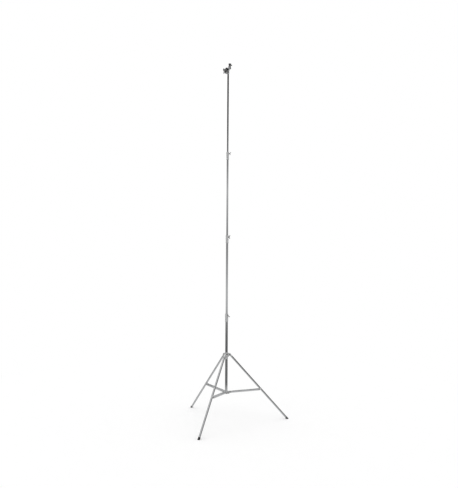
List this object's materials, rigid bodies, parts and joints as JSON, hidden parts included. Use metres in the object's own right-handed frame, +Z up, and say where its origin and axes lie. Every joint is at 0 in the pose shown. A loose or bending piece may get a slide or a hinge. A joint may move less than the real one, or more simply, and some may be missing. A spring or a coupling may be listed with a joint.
{
  "type": "overhead lighting stand",
  "caption": "Tall braced tripod stand: telescoping steel risers with T-handle locking collars, rubber feet, and a grip head with a spigot receiver on top.",
  "frame": {"origin": "where the mast axis meets the floor, midway between the three feet", "axes": "+Z up along the mast, +X out along leg 1"},
  "size_m": [1.5316, 1.7628, 5.825],
  "materials": {
    "chrome_tube": "bright chrome-plated drawn steel tube",
    "chrome_bar": "chrome-plated flat steel bar",
    "plated_casting": "polished, plated die casting",
    "cast_handle": "plated cast T handle",
    "zinc_fastener": "zinc-plated steel",
    "foot_rubber": "moulded black rubber",
    "nylon": "black nylon",
    "brass": "turned brass"
  },
  "bodies": {
    "base": {"base_column": "chrome_tube", "column_plug": "nylon", "crown": "plated_casting", "crown_pivot_bolts": "zinc_fastener", "crown_pivot_nuts": "zinc_fastener", "crown_clamp_bolt": "zinc_fastener", "crown_clamp_nut": "zinc_fastener", "collar_1": "plated_casting", "collar_pins_1": "zinc_fastener", "collar_shoe_1": "brass"},
    "hub": {"hub": "plated_casting", "hub_pivot_bolts": "zinc_fastener", "hub_pivot_nuts": "zinc_fastener"},
    "hub_lock_screw": {"hub_lock_screw": "cast_handle"},
    "riser_1": {"riser_tube_1": "chrome_tube", "riser_bush_1": "nylon", "collar_2": "plated_casting", "collar_pins_2": "zinc_fastener", "collar_shoe_2": "brass"},
    "riser_2": {"riser_tube_2": "chrome_tube", "riser_bush_2": "nylon", "collar_3": "plated_casting", "collar_pins_3": "zinc_fastener", "collar_shoe_3": "brass"},
    "riser_3": {"riser_tube_3": "chrome_tube", "riser_bush_3": "nylon"},
    "head": {"head_body": "plated_casting", "receiver": "plated_casting", "jaw_bolt": "zinc_fastener"},
    "receiver_screw": {"receiver_screw": "cast_handle"},
    "jaw_plate_rear": {"jaw_plate_rear": "plated_casting"},
    "jaw_plate_front": {"jaw_plate_front": "plated_casting"},
    "jaw_handle": {"jaw_handle": "cast_handle"},
    "jaw_handle_bar": {"jaw_handle_bar": "cast_handle"},
    "leg_1": {"leg_tube_1": "chrome_tube", "leg_knuckle_1": "plated_casting", "leg_bracket_1": "plated_casting", "brace_bush_1": "zinc_fastener", "foot_1": "foot_rubber"},
    "brace_1": {"brace_bars_1": "chrome_bar", "brace_bolt_ends_1": "zinc_fastener"},
    "collar_handle_1": {"collar_handle_1": "cast_handle"},
    "leg_2": {"leg_tube_2": "chrome_tube", "leg_knuckle_2": "plated_casting", "leg_bracket_2": "plated_casting", "brace_bush_2": "zinc_fastener", "foot_2": "foot_rubber"},
    "brace_2": {"brace_bars_2": "chrome_bar", "brace_bolt_ends_2": "zinc_fastener"},
    "collar_handle_2": {"collar_handle_2": "cast_handle"},
    "leg_3": {"leg_tube_3": "chrome_tube", "leg_knuckle_3": "plated_casting", "leg_bracket_3": "plated_casting", "brace_bush_3": "zinc_fastener", "foot_3": "foot_rubber"},
    "brace_3": {"brace_bars_3": "chrome_bar", "brace_bolt_ends_3": "zinc_fastener"},
    "collar_handle_3": {"collar_handle_3": "cast_handle"}
  },
  "joints": [
    {"name": "leg_1_fold", "type": "hinge", "parent": "base", "child": "leg_1", "pos_m": [0.054, 0, 1.044], "axis": [0, 1, 0], "range_deg": [0, 34.68]},
    {"name": "leg_2_fold", "type": "hinge", "parent": "base", "child": "leg_2", "pos_m": [-0.027, 0.04677, 1.044], "axis": [-0.866, -0.5, 0], "range_deg": [0, 34.68]},
    {"name": "leg_3_fold", "type": "hinge", "parent": "base", "child": "leg_3", "pos_m": [-0.027, -0.04677, 1.044], "axis": [0.866, -0.5, 0], "range_deg": [0, 34.68]},
    {"name": "hub_slide", "type": "slide", "parent": "base", "child": "hub", "axis": [0, 0, 1], "range_m": [0, 0.32804]},
    {"name": "brace_1_fold", "type": "hinge", "parent": "hub", "child": "brace_1", "pos_m": [0.057, 0, 0.451], "axis": [0, 1, 0], "range_deg": [0, 85.02]},
    {"name": "brace_2_fold", "type": "hinge", "parent": "hub", "child": "brace_2", "pos_m": [-0.0285, 0.04936, 0.451], "axis": [-0.866, -0.5, 0], "range_deg": [0, 85.02]},
    {"name": "brace_3_fold", "type": "hinge", "parent": "hub", "child": "brace_3", "pos_m": [-0.0285, -0.04936, 0.451], "axis": [0.866, -0.5, 0], "range_deg": [0, 85.02]},
    {"name": "riser_1_slide", "type": "slide", "parent": "base", "child": "riser_1", "axis": [0, 0, 1], "range_m": [-0.985, 0]},
    {"name": "riser_2_slide", "type": "slide", "parent": "riser_1", "child": "riser_2", "axis": [0, 0, 1], "range_m": [-1.235, 0]},
    {"name": "riser_3_slide", "type": "slide", "parent": "riser_2", "child": "riser_3", "axis": [0, 0, 1], "range_m": [-1.265, 0]},
    {"name": "collar_handle_1_turn", "type": "hinge", "parent": "base", "child": "collar_handle_1", "pos_m": [0.03, -0.05196, 1.66], "axis": [0.5, -0.866, 0], "range_deg": [0, 270]},
    {"name": "collar_handle_2_turn", "type": "hinge", "parent": "riser_1", "child": "collar_handle_2", "pos_m": [0.04728, -0.03694, 2.929], "axis": [0.788, -0.6157, 0], "range_deg": [0, 270]},
    {"name": "collar_handle_3_turn", "type": "hinge", "parent": "riser_2", "child": "collar_handle_3", "pos_m": [0.05438, -0.02536, 4.302], "axis": [0.9063, -0.4226, 0], "range_deg": [0, 270]},
    {"name": "hub_lock_turn", "type": "hinge", "parent": "hub", "child": "hub_lock_screw", "pos_m": [0.026, -0.04503, 0.442], "axis": [0.5, -0.866, 0], "range_deg": [0, 270]},
    {"name": "head_pan", "type": "hinge", "parent": "riser_3", "child": "head", "pos_m": [0, 0, 5.653], "axis": [0, 0, 1], "range_deg": [-180, 180]},
    {"name": "receiver_screw_turn", "type": "hinge", "parent": "head", "child": "receiver_screw", "pos_m": [0.06062, 0.035, 5.809], "axis": [0.866, 0.5, 0], "range_deg": [0, 270]},
    {"name": "jaw_turn", "type": "hinge", "parent": "head", "child": "jaw_plate_rear", "pos_m": [-0.02165, -0.0125, 5.689], "axis": [-0.866, -0.5, 0], "range_deg": [-180, 180]},
    {"name": "jaw_open", "type": "slide", "parent": "jaw_plate_rear", "child": "jaw_plate_front", "axis": [-0.866, -0.5, 0], "range_m": [0, 0.0081]},
    {"name": "jaw_handle_turn", "type": "hinge", "parent": "jaw_plate_front", "child": "jaw_handle", "pos_m": [-0.04763, -0.0275, 5.689], "axis": [-0.866, -0.5, 0], "range_deg": [0, 720]},
    {"name": "jaw_bar_slide", "type": "slide", "parent": "jaw_handle", "child": "jaw_handle_bar", "axis": [0, 0, 1], "range_m": [0, 0.0374]}
  ],
  "couplings": [
    {"joint": "leg_2_fold", "follows": "leg_1_fold", "ratio": 1},
    {"joint": "leg_3_fold", "follows": "leg_1_fold", "ratio": 1},
    {"joint": "hub_slide", "follows": "leg_1_fold", "m_per_rad": 0.54192},
    {"joint": "brace_1_fold", "follows": "leg_1_fold", "ratio": 2.4513},
    {"joint": "brace_2_fold", "follows": "leg_1_fold", "ratio": 2.4513},
    {"joint": "brace_3_fold", "follows": "leg_1_fold", "ratio": 2.4513},
    {"joint": "jaw_open", "follows": "jaw_handle_turn", "m_per_rad": 0.00063662}
  ]
}
